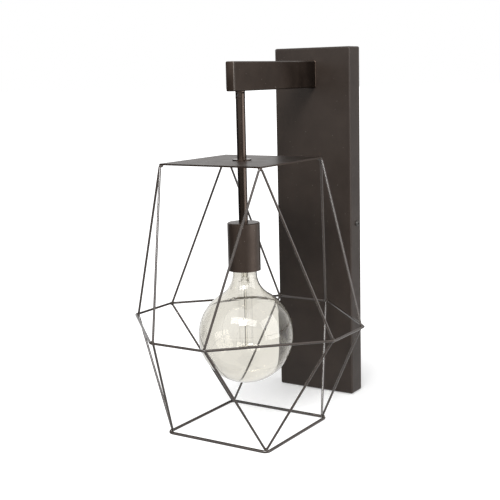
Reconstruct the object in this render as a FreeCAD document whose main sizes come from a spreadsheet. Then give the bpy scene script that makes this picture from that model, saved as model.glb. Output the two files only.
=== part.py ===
import FreeCAD, Part
import Sketcher
import math
import os

# Wall light: a flat arm on a tall back box carries a stem that hangs from a
# small clevis, and the stem carries a faceted wire cage round a globe bulb.
# Millimetres. X runs to the right of someone facing the light, Y into the
# wall, Z up. The origin is on the wall, at the middle of the back box.

doc = FreeCAD.newDocument("CageWallLight")
sheet = doc.addObject("Spreadsheet::Sheet", "Sizes")
levels = doc.addObject("App::FeaturePython", "Levels")
vec = FreeCAD.Vector
nodes = []

sizes = {
    # back box, folded from sheet, open towards the wall
    "boxWidth": 120,
    "boxHeight": 494,
    "boxDepth": 28.5,
    "boxWall": 1.5,
    "boxFold": 2.5,
    # bracket that the box hangs on
    "bracketGap": 0.3,
    "bracketThick": 2,
    "bracketHeight": 80,
    "earHeight": 20,
    "earDepth": 20,
    "wallSlotSpacing": 80,
    "wallSlotLength": 12,
    "wallSlotWidth": 5.5,
    "cableHoleDia": 20,
    # screws through the sides of the box into the ears
    "sideScrewY": 11,
    "sideScrewDia": 5,
    "sideScrewLength": 10,
    "sideHeadDia": 8.4,
    "sideHeadHigh": 2.6,
    "sideHeadEdge": 0.9,
    "sideHeadTop": 5.6,
    "sideSocket": 3,
    "screwGap": 0.25,
    # arm
    "armReach": 235,
    "armWidth": 12,
    "armDepth": 37,
    "armTop": 228.5,
    "armWall": 1.5,
    "armCorner": 2,
    "armCapThick": 2,
    "armPlugLength": 5,
    "plugGap": 0.1,
    "weldGap": 0.05,
    "flangeWidth": 40,
    "flangeHeight": 55,
    "flangeThick": 2,
    "bushLength": 6,
    "bushHoleDia": 6,
    "studBlockLength": 22,
    "studBlockHeight": 8,
    # clevis under the arm
    "pendantInset": 22.5,
    "swivelDia": 12.4,
    "swivelLength": 9.2,
    "swivelDisc": 1.2,
    "pivotDrop": 5,
    "pivotPinDia": 3,
    "pivotFit": 0.05,
    "cheekGap": 0.2,
    "tongueThick": 7.2,
    "roofAngle": 14,
    "roofGap": 0.3,
    "studDia": 7.9,
    "studBore": 4.6,
    "threadFit": 0.05,
    # stem
    "stemDia": 12,
    "shoulderThick": 1.2,
    "spigotLength": 9,
    "upperStemLength": 74.9,
    "lowerStemLength": 77.5,
    "nippleDia": 9.4,
    "nippleBore": 7,
    "nippleGrip": 14,
    "holeGap": 0.15,
    # cage
    "plateSide": 150,
    "plateThick": 2,
    "plateCorner": 1,
    "washerDia": 24.5,
    "washerThick": 1.5,
    "kiteWire": 3,
    "kiteInset": 0.8,
    "apexBend": 2.4,
    "waistBend": 5,
    "ringWire": 3.2,
    "ringHalf": 151.3,
    "ringShortHalf": 39.2,
    "ringBend": 6,
    "waistDrop": 208.9,
    "baseWire": 4,
    "baseHalf": 75.6,
    "baseBend": 7,
    "cageHeight": 350.9,
    # lamp-holder and its cup
    "cupDia": 42,
    "cupLength": 62.2,
    "cupWall": 1.2,
    "cupRound": 1,
    "nutThick": 3,
    "nutAcross": 14,
    "holderDia": 38.6,
    "holderWall": 2.2,
    "holderTop": 3,
    "holderCapLength": 18.5,
    "skirtLength": 38.5,
    "skirtPocket": 7,
    "skirtRim": 1.2,
    "insertThick": 10,
    "insertGap": 0.3,
    "terminalSpread": 9,
    "terminalDia": 3,
    "terminalDepth": 6,
    "terminalHeadDia": 5.4,
    "terminalHeadHigh": 2.1,
    "shellWall": 0.5,
    "shellLength": 25,
    "shellTurnIn": 2,
    "shellFit": 0.1,
    "shellGap": 0.5,
    "contactReach": 3.3,
    "contactWidth": 6,
    "contactThick": 0.5,
    "contactTip": 4.8,
    "contactKnee": 2.4,
    # bulb
    "globeDia": 125,
    "neckDia": 31.2,
    "neckReach": 32.7227,
    "neckLength": 5.8,
    "shoulderBend": 34,
    "glassWall": 0.9,
    "capDia": 26.4,
    "capWall": 0.4,
    "capLength": 22.7,
    "capTurnIn": 2,
    "capTurnRise": 1.2,
    "capContactDia": 9,
    "capContactHigh": 4,
    "capContactEdge": 3.4,
    "capContactTop": 7.2,
    "insulatorHigh": 3,
    "insulatorGap": 0.5,
    "insulatorStep": 1,
    "glassInset": 0.2,
    "mountTubeDia": 9,
    "pressWidth": 10,
    "pressThick": 4,
    "pressDrop": 22.5,
    "pressLength": 10,
    "flareHigh": 6,
    "mountRodDia": 3.4,
    "mountRodLength": 84,
    "mountButtonDia": 5,
    "mountButtonHigh": 3,
    "hookCount": 8,
    "hookReach": 9,
    "hookRise": 4,
    "hookGap": 0.02,
    "hookWire": 0.5,
    "filamentWire": 0.3,
    # terminal block and leads
    "blockWidth": 32,
    "blockHeight": 17,
    "blockDepth": 14,
    "blockRise": 26,
    "poleSpacing": 10,
    "poleHoleDia": 3.4,
    "earthReach": 30,
    "earthHeadDia": 7.2,
    "earthHeadHigh": 2.4,
    "leadDia": 2,
    "leadSpread": 1.1,
    "leadRise": 4,
    "leadBend": 9,
    "leadStraight": 30,
    "leadLean": 90,
    "leadSweep": 20,
    "leadFootStart": 1.5,
    "leadFootDrop": 6,
    "leadFootBend": 3,
    "earthRise": 14,
    "earthFall": 12,
    "earthBend": 5,
}

for row, alias in enumerate(sizes, 1):
    sheet.set("A%d" % row, alias)
    sheet.set("B%d" % row, str(sizes[alias]))
    sheet.setAlias("B%d" % row, alias)
doc.recompute()


def level(name, formula):
    levels.addProperty("App::PropertyFloat", name)
    levels.setExpression(name, formula)


# Heights, and the few other places that several pieces share
level("innerHalf", "Sizes.boxWidth / 2 - Sizes.boxWall")
level("earOuter", "innerHalf - Sizes.bracketGap")
level("boxFloor", "Sizes.boxDepth - Sizes.boxWall")
level("armRear", "boxFloor - Sizes.flangeThick")
level("armFront", "Sizes.armReach - Sizes.armCapThick")
level("armBottom", "Sizes.armTop - Sizes.armDepth")
level("armMiddle", "Sizes.armTop - Sizes.armDepth / 2")
level("armInner", "Sizes.armWidth - 2 * Sizes.armWall")
level("armInnerDepth", "Sizes.armDepth - 2 * Sizes.armWall")
level("axisY", "Sizes.pendantInset - Sizes.armReach")
level("pivotZ", "armBottom - Sizes.pivotDrop")
level("shoulderZ", "armBottom - Sizes.swivelLength")
level("stemTopZ", "shoulderZ - Sizes.shoulderThick")
level("boreDia", "Sizes.nippleDia + 2 * Sizes.threadFit")
level("nippleHole", "Sizes.nippleDia + 2 * Sizes.holeGap")
level("washerTopZ", "stemTopZ - Sizes.upperStemLength")
level("plateTopZ", "washerTopZ - Sizes.washerThick")
level("plateBottomZ", "plateTopZ - Sizes.plateThick")
level("ringZ", "plateTopZ - Sizes.waistDrop")
level("baseZ", "plateTopZ - Sizes.cageHeight")
level("cupTopZ", "plateBottomZ - Sizes.lowerStemLength")
level("cupBottomZ", "cupTopZ - Sizes.cupLength")
level("nutTopZ", "cupTopZ - Sizes.cupWall")
level("holderTopZ", "nutTopZ - Sizes.nutThick")
level("holderSplitZ", "holderTopZ - Sizes.holderCapLength")
level("holderBottomZ", "holderSplitZ - Sizes.skirtLength")
level("insertBottomZ", "holderSplitZ - Sizes.skirtPocket")
level("insertTopZ", "insertBottomZ + Sizes.insertThick")
level("holderInner", "Sizes.holderDia / 2 - Sizes.holderWall")
level("shellInner", "Sizes.capDia / 2 + Sizes.shellFit")
level("shellOuter", "shellInner + Sizes.shellWall")
level("seatZ", "insertBottomZ - Sizes.contactReach")
level("globeR", "Sizes.globeDia / 2")
level("neckRise", "sqrt((Sizes.shoulderBend + globeR)^2 - (Sizes.shoulderBend + Sizes.neckDia / 2)^2)")
level("contactRise", "neckRise + Sizes.neckReach")
level("globeZ", "seatZ - contactRise")
level("capTopRise", "contactRise - Sizes.capContactHigh")
level("capRimRise", "capTopRise - Sizes.capLength")
level("leadStartZ", "armBottom + Sizes.leadRise")
doc.recompute()


def note(name):
    return getattr(levels, name) if name in levels.PropertiesList else float(getattr(sheet, name))


def bind(piece, **formulas):
    for name in formulas:
        piece.setExpression(name, formulas[name])


def seat(piece, x, y, z):
    piece.setExpression("Placement.Base.x", x)
    piece.setExpression("Placement.Base.y", y)
    piece.setExpression("Placement.Base.z", z)
    return piece


def keep(piece, label, solids=1):
    piece.Label = label
    nodes.append((piece, solids))
    return piece


def block(name, length, width, height, x, y, z):
    piece = doc.addObject("Part::Box", name)
    bind(piece, Length=length, Width=width, Height=height)
    return seat(piece, x, y, z)


def rod(name, radius, height, x, y, z, turn=None):
    piece = doc.addObject("Part::Cylinder", name)
    if turn == "X":
        piece.Placement = FreeCAD.Placement(vec(), FreeCAD.Rotation(vec(0, 1, 0), 90))
    if turn == "Y":
        piece.Placement = FreeCAD.Placement(vec(), FreeCAD.Rotation(vec(1, 0, 0), -90))
    bind(piece, Radius=radius, Height=height)
    return seat(piece, x, y, z)


def join(name, pieces):
    piece = doc.addObject("Part::MultiFuse", name)
    piece.Shapes = pieces
    piece.Refine = True
    return piece


def cut(name, base, tools):
    piece = doc.addObject("Part::Cut", name)
    piece.Base = base
    piece.Tool = tools[0] if len(tools) == 1 else join(name + "Tools", tools)
    piece.Refine = True
    return piece


def common(name, base, tool):
    piece = doc.addObject("Part::MultiCommon", name)
    piece.Shapes = [base, tool]
    return piece


def group(name, pieces):
    piece = doc.addObject("Part::Compound", name)
    piece.Links = pieces
    return piece


def newBody(name):
    return doc.addObject("PartDesign::Body", name)


def newSketch(body, role, name):
    sketch = body.newObject("Sketcher::SketchObject", body.Name + name)
    plane = [feature for feature in body.Origin.OriginFeatures if feature.Role == role][0]
    sketch.AttachmentSupport = [(plane, "")]
    sketch.MapMode = "FlatFace"
    return sketch


def tie(sketch, kind, entry, formula):
    index = sketch.addConstraint(Sketcher.Constraint(kind, *entry))
    sketch.setExpression("Constraints[%d]" % index, formula)


# A point of a sketch is held at a distance from each axis, or on the axis
def pin(sketch, line, end, x, y):
    if x == "0":
        sketch.addConstraint(Sketcher.Constraint("PointOnObject", line, end, -2))
    else:
        tie(sketch, "DistanceX", (-1, 1, line, end, 1.0), x)
    if y == "0":
        sketch.addConstraint(Sketcher.Constraint("PointOnObject", line, end, -1))
    else:
        tie(sketch, "DistanceY", (-1, 1, line, end, 1.0), y)


def outline(sketch, corners):
    first = sketch.GeometryCount
    count = len(corners)
    turn = 2 * math.pi / count
    rough = [vec(20 + 9 * math.cos(turn * step), 20 + 9 * math.sin(turn * step), 0) for step in range(count)]
    for step in range(count):
        sketch.addGeometry(Part.LineSegment(rough[step], rough[(step + 1) % count]))
    for step in range(count):
        after = first + (step + 1) % count
        sketch.addConstraint(Sketcher.Constraint("Coincident", first + step, 2, after, 1))
    for step in range(count):
        pin(sketch, first + step, 1, *corners[step])


def ring(sketch, x, y, diameter):
    index = sketch.addGeometry(Part.Circle(vec(3, 3, 0), vec(0, 0, 1), 2))
    tie(sketch, "Diameter", (index, 4.0), diameter)
    pin(sketch, index, 3, x, y)


def frame(left, bottom, right, top):
    return [(left, bottom), (right, bottom), (right, top), (left, top)]


def pad(body, sketch, length, reverse=False, symmetric=False):
    feature = body.newObject("PartDesign::Pad", sketch.Name + "Pad")
    feature.Profile = sketch
    feature.Reversed = reverse
    if symmetric:
        feature.SideType = "Symmetric"
    bind(feature, Length=length)
    return feature


def pocket(body, sketch, length=None, reverse=False):
    feature = body.newObject("PartDesign::Pocket", sketch.Name + "Pocket")
    feature.Profile = sketch
    feature.Reversed = reverse
    if length is None:
        feature.SideType = "Symmetric"
        feature.Type = "ThroughAll"
    else:
        bind(feature, Length=length)
    return feature


def fillet(body, base, chosen, radius, name):
    doc.recompute()
    edges = ["Edge%d" % (index + 1) for index, edge in enumerate(base.Shape.Edges) if chosen(edge)]
    feature = body.newObject("PartDesign::Fillet", name)
    feature.Base = (base, edges)
    bind(feature, Radius=radius)
    return feature


def alongY(edge):
    return abs(edge.tangentAt(edge.FirstParameter).y) > 0.99


def atFront(edge, depth):
    return all(abs(vertex.Y + depth) < 0.001 for vertex in edge.Vertexes)


def turned(name, corners):
    body = newBody(name)
    sketch = newSketch(body, "XZ_Plane", "Profile")
    outline(sketch, corners)
    feature = body.newObject("PartDesign::Revolution", name + "Turn")
    feature.Profile = sketch
    feature.ReferenceAxis = (sketch, ["V_Axis"])
    feature.Angle = 360
    return body


def tube(name, outer, inner, length):
    return turned(name, frame(inner + " / 2", "0", outer + " / 2", length))


# A path of straight runs with a tangent arc at each corner
def cornerArc(before, corner, after, radius):
    back = (before - corner).normalize()
    ahead = (after - corner).normalize()
    half = back.getAngle(ahead) / 2
    run = radius / math.tan(half)
    middle = corner + (back + ahead).normalize() * (radius / math.sin(half) - radius)
    return corner + back * run, middle, corner + ahead * run


def path(points, bends):
    edges = []
    start = points[0]
    for index, radius in enumerate(bends):
        entry, middle, leave = cornerArc(points[index], points[index + 1], points[index + 2], radius)
        edges.append(Part.makeLine(start, entry))
        edges.append(Part.Arc(entry, middle, leave).toShape())
        start = leave
    edges.append(Part.makeLine(start, points[-1]))
    return Part.Wire(edges)


def sweep(wire, diameter):
    edge = wire.Edges[0]
    start = edge.valueAt(edge.FirstParameter)
    section = Part.makeCircle(diameter / 2, start, edge.tangentAt(edge.FirstParameter))
    return wire.makePipeShell([Part.Wire([section])], True, False)


def wirePiece(name, shape):
    piece = doc.addObject("Part::Feature", name)
    piece.Shape = shape
    return piece


# --- Wall bracket: a web on the wall with an ear at each side
web = block("bracketWeb", "2 * Levels.earOuter", "Sizes.bracketThick", "Sizes.bracketHeight",
            "-Levels.earOuter", "-Sizes.bracketThick", "-Sizes.bracketHeight / 2")
earPlaces = ("-Levels.earOuter", "Levels.earOuter - Sizes.bracketThick")
ears = [block("bracketEar", "Sizes.bracketThick", "Sizes.earDepth", "Sizes.earHeight",
              place, "-Sizes.earDepth", "-Sizes.earHeight / 2") for place in earPlaces]
holes = [rod("cableHole", "Sizes.cableHoleDia / 2", "3 * Sizes.bracketThick",
             "0", "-2 * Sizes.bracketThick", "0", "Y"),
         rod("earHoles", "Sizes.sideScrewDia / 2 + Sizes.threadFit", "2 * Sizes.boxWidth",
             "-Sizes.boxWidth", "-Sizes.sideScrewY", "0", "X"),
         rod("earthHole", "Sizes.terminalDia / 2 + Sizes.threadFit", "3 * Sizes.bracketThick",
             "Sizes.earthReach", "-2 * Sizes.bracketThick", "Sizes.blockRise", "Y")]
for side in ("-", ""):
    middle = side + "Sizes.wallSlotSpacing / 2"
    flat = "(Sizes.wallSlotLength - Sizes.wallSlotWidth)"
    holes.append(block("slotRun", flat, "3 * Sizes.bracketThick", "Sizes.wallSlotWidth",
                       middle + " - " + flat + " / 2", "-2 * Sizes.bracketThick", "-Sizes.wallSlotWidth / 2"))
    for end in (" - ", " + "):
        holes.append(rod("slotEnd", "Sizes.wallSlotWidth / 2", "3 * Sizes.bracketThick",
                         middle + end + flat + " / 2", "-2 * Sizes.bracketThick", "0", "Y"))
keep(cut("wallBracket", join("bracketBlank", [web] + ears), holes), "wall_bracket")

# --- Back box
backBox = newBody("backBox")
faceSketch = newSketch(backBox, "XZ_Plane", "Face")
outline(faceSketch, frame("-Sizes.boxWidth / 2", "-Sizes.boxHeight / 2",
                          "Sizes.boxWidth / 2", "Sizes.boxHeight / 2"))
facePad = pad(backBox, faceSketch, "Sizes.boxDepth")
foldDepth = note("boxDepth")
fillet(backBox, facePad, lambda edge: alongY(edge) or atFront(edge, foldDepth), "Sizes.boxFold", "boxFolds")
hollowSketch = newSketch(backBox, "XZ_Plane", "Hollow")
outline(hollowSketch, frame("-Levels.innerHalf", "Sizes.boxWall - Sizes.boxHeight / 2",
                            "Levels.innerHalf", "Sizes.boxHeight / 2 - Sizes.boxWall"))
pocket(backBox, hollowSketch, "Levels.boxFloor", True)
slotSketch = newSketch(backBox, "XZ_Plane", "Slot")
outline(slotSketch, frame("-(Sizes.armWidth / 2 + Sizes.weldGap)", "Levels.armBottom - Sizes.weldGap",
                          "Sizes.armWidth / 2 + Sizes.weldGap", "Sizes.armTop + Sizes.weldGap"))
pocket(backBox, slotSketch)
sideSketch = newSketch(backBox, "YZ_Plane", "Side")
ring(sideSketch, "-Sizes.sideScrewY", "0", "Sizes.sideScrewDia + 2 * Sizes.screwGap")
pocket(backBox, sideSketch)
keep(backBox, "back_box")

# --- Side screws: button heads with a hexagon socket, one on each side
sideScrew = turned("sideScrew", [("0", "0"), ("Sizes.sideScrewDia / 2", "0"),
                                 ("Sizes.sideScrewDia / 2", "Sizes.sideScrewLength"),
                                 ("Sizes.sideHeadDia / 2", "Sizes.sideScrewLength"),
                                 ("Sizes.sideHeadDia / 2", "Sizes.sideScrewLength + Sizes.sideHeadEdge"),
                                 ("Sizes.sideHeadTop / 2", "Sizes.sideScrewLength + Sizes.sideHeadHigh"),
                                 ("0", "Sizes.sideScrewLength + Sizes.sideHeadHigh")])
socket = doc.addObject("Part::Prism", "socket")
socket.Polygon = 6
bind(socket, Circumradius="Sizes.sideSocket / sqrt(3)", Height="Sizes.sideHeadHigh")
seat(socket, "0", "0", "Sizes.sideScrewLength + Sizes.sideHeadEdge")
screwShape = cut("screwShape", sideScrew, [socket])
screwShape.Placement = FreeCAD.Placement(vec(), FreeCAD.Rotation(vec(0, 1, 0), 90))
seat(screwShape, "Sizes.boxWidth / 2 - Sizes.sideScrewLength", "-Sizes.sideScrewY", "0")
otherScrew = doc.addObject("Part::Mirroring", "otherScrew")
otherScrew.Source = screwShape
otherScrew.Normal = vec(1, 0, 0)
keep(group("sideScrews", [screwShape, otherScrew]), "side_screws", 2)

# --- Arm: rectangular tube through the face of the box, open at both ends
arm = newBody("arm")
armSketch = newSketch(arm, "XZ_Plane", "Outer")
outline(armSketch, frame("-Sizes.armWidth / 2", "0", "Sizes.armWidth / 2", "Sizes.armDepth"))
armPad = pad(arm, armSketch, "Levels.armFront - Levels.armRear")
fillet(arm, armPad, alongY, "Sizes.armCorner", "armCorners")
boreSketch = newSketch(arm, "XZ_Plane", "Bore")
outline(boreSketch, frame("-Levels.armInner / 2", "Sizes.armWall",
                          "Levels.armInner / 2", "Sizes.armDepth - Sizes.armWall"))
pocket(arm, boreSketch)
studSketch = newSketch(arm, "XY_Plane", "Stud")
ring(studSketch, "0", "Levels.armRear + Levels.axisY", "Sizes.studDia + 2 * Sizes.screwGap")
pocket(arm, studSketch, "Sizes.armWall", True)
keep(seat(arm, "0", "-Levels.armRear", "Levels.armBottom"), "arm_tube")

# --- End cap: a plate of the tube's own outline with a plug behind it
endCap = newBody("endCap")
capSketch = newSketch(endCap, "XZ_Plane", "Plate")
outline(capSketch, frame("-Sizes.armWidth / 2", "0", "Sizes.armWidth / 2", "Sizes.armDepth"))
capPad = pad(endCap, capSketch, "Sizes.armCapThick")
fillet(endCap, capPad, alongY, "Sizes.armCorner", "capCorners")
plugSketch = newSketch(endCap, "XZ_Plane", "Plug")
outline(plugSketch, frame("Sizes.plugGap - Levels.armInner / 2", "Sizes.armWall + Sizes.plugGap",
                          "Levels.armInner / 2 - Sizes.plugGap",
                          "Sizes.armDepth - Sizes.armWall - Sizes.plugGap"))
pad(endCap, plugSketch, "Sizes.armPlugLength", True)
keep(seat(endCap, "0", "-Levels.armFront", "Levels.armBottom"), "arm_end_cap")

# --- Flange that stiffens the face of the box round the arm
flange = block("flangeBlank", "Sizes.flangeWidth", "Sizes.flangeThick", "Sizes.flangeHeight",
               "-Sizes.flangeWidth / 2", "-Levels.boxFloor", "Levels.armMiddle - Sizes.flangeHeight / 2")
flangeHole = block("flangeHole", "Sizes.armWidth + 2 * Sizes.weldGap", "3 * Sizes.flangeThick",
                   "Sizes.armDepth + 2 * Sizes.weldGap", "-(Sizes.armWidth / 2 + Sizes.weldGap)",
                   "-(Levels.boxFloor + Sizes.flangeThick)", "Levels.armBottom - Sizes.weldGap")
keep(cut("flange", flange, [flangeHole]), "arm_flange")

# --- Bush that keeps the leads off the tube's rear edge
bush = block("bushBlank", "Levels.armInner - 2 * Sizes.plugGap", "Sizes.bushLength",
             "Levels.armInnerDepth - 2 * Sizes.plugGap", "Sizes.plugGap - Levels.armInner / 2",
             "-(Levels.armRear + Sizes.bushLength)", "Levels.armBottom + Sizes.armWall + Sizes.plugGap")
bushHole = rod("bushHole", "Sizes.bushHoleDia / 2", "2 * Sizes.bushLength", "0",
               "-(Levels.armRear + 1.5 * Sizes.bushLength)", "Levels.armMiddle", "Y")
keep(cut("bush", bush, [bushHole]), "arm_bush")

# --- Tapped block inside the arm, over the stud's hole
studBlock = block("studBlank", "Levels.armInner - 2 * Sizes.plugGap",
                  "Sizes.studBlockLength", "Sizes.studBlockHeight", "Sizes.plugGap - Levels.armInner / 2", "Levels.axisY - Sizes.studBlockLength / 2",
                  "Levels.armBottom + Sizes.armWall")
studHole = rod("studHole", "Sizes.studDia / 2 + Sizes.threadFit", "3 * Sizes.studBlockHeight", "0",
               "Levels.axisY", "Levels.armBottom - Sizes.studBlockHeight")
keep(cut("studBlock", studBlock, [studHole]), "stud_block")


# --- Clevis. Its cheeks and the stem's tongue are cut to shallow roofs, so
# that neither meets the other's flat face when the stem swings.
def roofSlab(name, half, low, lowEdge, high, highEdge, thick):
    body = newBody(name)
    sketch = newSketch(body, "XZ_Plane", "Roof")
    outline(sketch, [("0", low), (half, lowEdge), (half, highEdge), ("0", high),
                     ("-" + half, highEdge), ("-" + half, lowEdge)])
    pad(body, sketch, thick, symmetric=True)
    return seat(body, "0", "Levels.axisY", "Levels.pivotZ")


roofRise = "Sizes.swivelDia / 2 * tan(Sizes.roofAngle)"
discDrop = "(Sizes.pivotDrop - Sizes.swivelDisc)"
shoulderDrop = "(Sizes.swivelLength - Sizes.pivotDrop)"
cheekSlab = roofSlab("cheekSlab", "Sizes.swivelDia / 2",
                     "Sizes.roofGap - " + shoulderDrop, roofRise + " + Sizes.roofGap - " + shoulderDrop,
                     discDrop, discDrop, "2 * Sizes.swivelDia")
cheekRound = rod("cheekRound", "Sizes.swivelDia / 2", "Sizes.swivelLength",
                 "0", "Levels.axisY", "Levels.shoulderZ")
cheekSlot = block("cheekSlot", "2 * Sizes.swivelDia", "Sizes.tongueThick + 2 * Sizes.cheekGap",
                  "Sizes.swivelLength", "-Sizes.swivelDia", "Levels.axisY - Sizes.tongueThick / 2 - Sizes.cheekGap",
                  "Levels.armBottom - Sizes.swivelDisc - Sizes.swivelLength")
cheeks = cut("cheeks", common("cheekBlank", cheekSlab, cheekRound), [cheekSlot])
disc = rod("forkDisc", "Sizes.swivelDia / 2", "Sizes.swivelDisc", "0", "Levels.axisY",
           "Levels.armBottom - Sizes.swivelDisc")
stud = rod("forkStud", "Sizes.studDia / 2", "Sizes.armWall + Sizes.studBlockHeight", "0", "Levels.axisY",
           "Levels.armBottom")
studBore = rod("forkBore", "Sizes.studBore / 2", "4 * Sizes.studBlockHeight", "0", "Levels.axisY",
               "Levels.armBottom - 2 * Sizes.studBlockHeight")
pinHole = rod("forkPinHole", "Sizes.pivotPinDia / 2 + Sizes.pivotFit", "2 * Sizes.swivelDia", "0",
              "Levels.axisY - Sizes.swivelDia", "Levels.pivotZ", "Y")
keep(cut("fork", join("forkBlank", [cheeks, disc, stud]), [studBore, pinHole]), "swivel_fork")

# Two short pins, flush with the cheeks, stop short of the leads' passage
pinTip = "(Sizes.leadDia / 2 + 3 * Sizes.cheekGap)"
pinLength = "(Sizes.swivelDia / 2 - 2 * Sizes.pivotFit - " + pinTip + ")"
pivotPins = [rod("pivotPin", "Sizes.pivotPinDia / 2", pinLength, "0", place, "Levels.pivotZ", "Y")
             for place in ("Levels.axisY + " + pinTip, "Levels.axisY - " + pinTip + " - " + pinLength)]
keep(group("pivotPins", pivotPins), "pivot_pins", 2)

# --- Tongue: slab, shoulder and a spigot that screws into the upper stem
tongueSlab = roofSlab("tongueSlab", "Sizes.swivelDia / 2",
                      "-" + shoulderDrop, "-" + shoulderDrop,
                      discDrop + " - Sizes.roofGap", discDrop + " - Sizes.roofGap - " + roofRise,
                      "Sizes.tongueThick")
tongueRound = rod("tongueRound", "Sizes.swivelDia / 2", "2 * Sizes.swivelLength", "0", "Levels.axisY",
                  "Levels.shoulderZ - Sizes.swivelLength")
shoulder = rod("shoulder", "Sizes.stemDia / 2", "Sizes.shoulderThick", "0", "Levels.axisY", "Levels.stemTopZ")
spigot = rod("spigot", "Sizes.nippleDia / 2", "Sizes.spigotLength", "0", "Levels.axisY",
             "Levels.stemTopZ - Sizes.spigotLength")
passage = block("passage", "Sizes.studBore", "Sizes.leadDia + 2 * Sizes.cheekGap", "4 * Sizes.swivelLength",
                "-Sizes.studBore / 2", "Levels.axisY - Sizes.leadDia / 2 - Sizes.cheekGap",
                "Levels.stemTopZ - 2 * Sizes.swivelLength")
tongueHole = rod("tonguePinHole", "Sizes.pivotPinDia / 2 + Sizes.pivotFit", "2 * Sizes.swivelDia", "0",
                 "Levels.axisY - Sizes.swivelDia", "Levels.pivotZ", "Y")
tongue = join("tongueBlank", [common("tongueHead", tongueSlab, tongueRound), shoulder, spigot])
keep(cut("tongue", tongue, [passage, tongueHole]), "stem_tongue")

# --- Stems, and the hollow nipple that clamps washer and plate between them
upperStem = tube("upperStem", "Sizes.stemDia", "Levels.boreDia", "Sizes.upperStemLength")
keep(seat(upperStem, "0", "Levels.axisY", "Levels.washerTopZ"), "upper_stem")
lowerStem = tube("lowerStem", "Sizes.stemDia", "Levels.boreDia", "Sizes.lowerStemLength")
keep(seat(lowerStem, "0", "Levels.axisY", "Levels.cupTopZ"), "lower_stem")
washer = tube("washer", "Sizes.washerDia", "Levels.nippleHole", "Sizes.washerThick")
keep(seat(washer, "0", "Levels.axisY", "Levels.plateTopZ"), "cage_washer")
plateNipple = tube("plateNipple", "Sizes.nippleDia", "Sizes.nippleBore",
                   "2 * Sizes.nippleGrip + Sizes.plateThick + Sizes.washerThick")
keep(seat(plateNipple, "0", "Levels.axisY", "Levels.plateBottomZ - Sizes.nippleGrip"), "plate_nipple")

# --- Cage plate
plate = newBody("plate")
plateSketch = newSketch(plate, "XY_Plane", "Square")
outline(plateSketch, frame("-Sizes.plateSide / 2", "-Sizes.plateSide / 2",
                           "Sizes.plateSide / 2", "Sizes.plateSide / 2"))
platePad = pad(plate, plateSketch, "Sizes.plateThick")
fillet(plate, platePad, lambda edge: abs(edge.tangentAt(edge.FirstParameter).z) > 0.99,
       "Sizes.plateCorner", "plateCorners")
plateHole = newSketch(plate, "XY_Plane", "Hole")
ring(plateHole, "0", "0", "Levels.nippleHole")
pocket(plate, plateHole)
keep(seat(plate, "0", "Levels.axisY", "Levels.plateBottomZ"), "cage_plate")


# --- Ring and base: a quarter of each loop is swept and repeated four times
def quarterLoop(name, bend, wire, half, reach=None):
    body = newBody(name)
    route = newSketch(body, "XY_Plane", "Route")
    marks = [(100, 0), (100, 40), (40, 100), (0, 100)] if reach else [(100, 0), (100, 100), (0, 100)]
    points = [vec(x, y, 0) for x, y in marks]
    last = len(points) - 2
    starts = [points[0]]
    lines = []
    arcs = []
    for index in range(1, len(points) - 1):
        entry, middle, leave = cornerArc(points[index - 1], points[index], points[index + 1], 8)
        lines.append(route.addGeometry(Part.LineSegment(starts[-1], entry)))
        arcs.append(route.addGeometry(Part.Arc(entry, middle, leave)))
        starts.append(leave)
    lines.append(route.addGeometry(Part.LineSegment(starts[-1], points[-1])))
    for index, arc in enumerate(arcs):
        entry = route.Geometry[lines[index]].EndPoint
        near = 1 if route.Geometry[arc].StartPoint.distanceToPoint(entry) < 1 else 2
        route.addConstraint(Sketcher.Constraint("Tangent", lines[index], 2, arc, near))
        route.addConstraint(Sketcher.Constraint("Tangent", arc, 3 - near, lines[index + 1], 1))
        if index:
            route.addConstraint(Sketcher.Constraint("Equal", arcs[0], arc))
    tie(route, "Radius", (arcs[0], 8.0), bend)
    route.addConstraint(Sketcher.Constraint("Vertical", lines[0]))
    route.addConstraint(Sketcher.Constraint("Horizontal", lines[-1]))
    route.addConstraint(Sketcher.Constraint("PointOnObject", lines[0], 1, -1))
    route.addConstraint(Sketcher.Constraint("PointOnObject", lines[-1], 2, -2))
    tie(route, "DistanceX", (-1, 1, lines[0], 1, 100.0), half)
    tie(route, "DistanceY", (-1, 1, lines[-1], 2, 100.0), half)
    if reach:
        route.addConstraint(Sketcher.Constraint("Angle", -1, 1, lines[1], 1, 3 * math.pi / 4))
        tie(route, "Distance", (-1, 1, lines[1], 99.0), reach)
    section = newSketch(body, "XZ_Plane", "Section")
    ring(section, half, "0", wire)
    doc.recompute()
    pipe = body.newObject("PartDesign::AdditivePipe", name + "Pipe")
    pipe.Profile = section
    pipe.Spine = (route, ["Edge%d" % (index + 1) for index in range(len(route.Shape.Edges))])
    pattern = body.newObject("PartDesign::PolarPattern", name + "Pattern")
    pattern.Originals = [pipe]
    pattern.Axis = (route, ["N_Axis"])
    pattern.Angle = 360
    pattern.Occurrences = 4
    body.Tip = pattern
    return body


cageRing = quarterLoop("cageRing", "Sizes.ringBend", "Sizes.ringWire", "Sizes.ringHalf",
                       "(Sizes.ringHalf + Sizes.ringShortHalf) / sqrt(2)")
keep(seat(cageRing, "0", "Levels.axisY", "Levels.ringZ"), "cage_ring")
cageBase = quarterLoop("cageBase", "Sizes.baseBend", "Sizes.baseWire", "Sizes.baseHalf")
keep(seat(cageBase, "0", "Levels.axisY", "Levels.baseZ"), "cage_base")

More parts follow.
